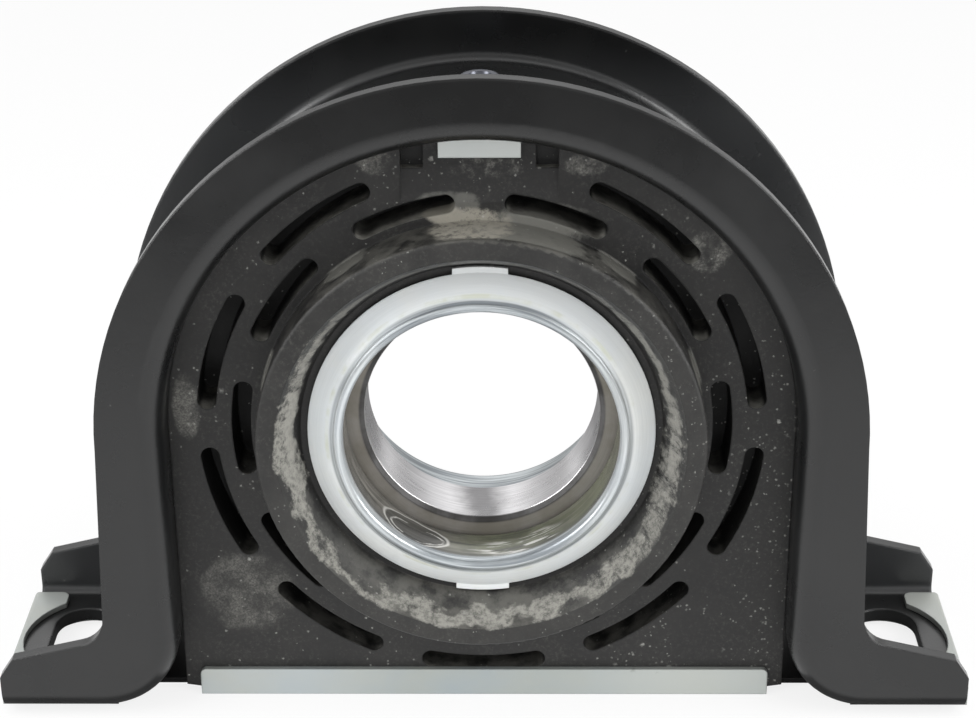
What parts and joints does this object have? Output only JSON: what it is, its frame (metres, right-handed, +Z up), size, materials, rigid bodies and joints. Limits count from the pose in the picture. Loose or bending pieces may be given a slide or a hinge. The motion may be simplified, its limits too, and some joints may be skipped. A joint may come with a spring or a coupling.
{
  "type": "driveshaft centre bearing",
  "caption": "Driveshaft centre bearing: a sealed ball bearing in a slotted rubber cushion, held by a pressed steel arch bracket with slotted feet.",
  "frame": {"origin": "centre of the bearing's bore, on the shaft axis", "axes": "+Y along the shaft to the rear, +X across from foot to foot, +Z up to the top of the arch"},
  "size_m": [0.2542, 0.0606, 0.1735],
  "materials": {
    "black_paint": "satin black paint over pressed steel",
    "rubber": "moulded black rubber with pale release powder",
    "zinc_plate": "zinc plated sheet",
    "zinc_shield": "zinc plated pressing, oil film on the collar",
    "rivet_steel": "plated steel",
    "bearing_steel": "ground steel",
    "cage_steel": "pressed steel",
    "ball_steel": "polished steel",
    "seal_rubber": "moulded seal"
  },
  "bodies": {
    "housing": {"bracket": "black_paint", "rubber_cushion": "rubber", "base_plate": "zinc_plate", "top_clip": "zinc_plate", "top_rivet": "rivet_steel", "bearing_outer_ring": "bearing_steel", "front_seal": "seal_rubber", "rear_seal": "seal_rubber", "front_dust_shield": "zinc_shield", "rear_dust_shield": "zinc_shield"},
    "inner_ring": {"bearing_inner_ring": "bearing_steel"},
    "ball_set": {"cage_front": "cage_steel", "cage_rear": "cage_steel", "cage_rivet_01": "cage_steel", "cage_rivet_02": "cage_steel", "cage_rivet_03": "cage_steel", "cage_rivet_04": "cage_steel", "cage_rivet_05": "cage_steel", "cage_rivet_06": "cage_steel", "cage_rivet_07": "cage_steel", "cage_rivet_08": "cage_steel", "cage_rivet_09": "cage_steel", "cage_rivet_10": "cage_steel", "cage_rivet_11": "cage_steel", "cage_rivet_12": "cage_steel", "ball_01": "ball_steel", "ball_02": "ball_steel", "ball_03": "ball_steel", "ball_04": "ball_steel", "ball_05": "ball_steel", "ball_06": "ball_steel", "ball_07": "ball_steel", "ball_08": "ball_steel", "ball_09": "ball_steel", "ball_10": "ball_steel", "ball_11": "ball_steel", "ball_12": "ball_steel"}
  },
  "joints": [
    {"name": "inner_ring_spin", "type": "hinge", "parent": "housing", "child": "inner_ring", "pos_m": [0, 0, 0], "axis": [0, 1, 0], "continuous": true},
    {"name": "ball_set_spin", "type": "hinge", "parent": "housing", "child": "ball_set", "pos_m": [0, 0, 0], "axis": [0, 1, 0], "continuous": true}
  ],
  "couplings": [
    {"joint": "ball_set_spin", "follows": "inner_ring_spin", "ratio": 0.4284}
  ]
}
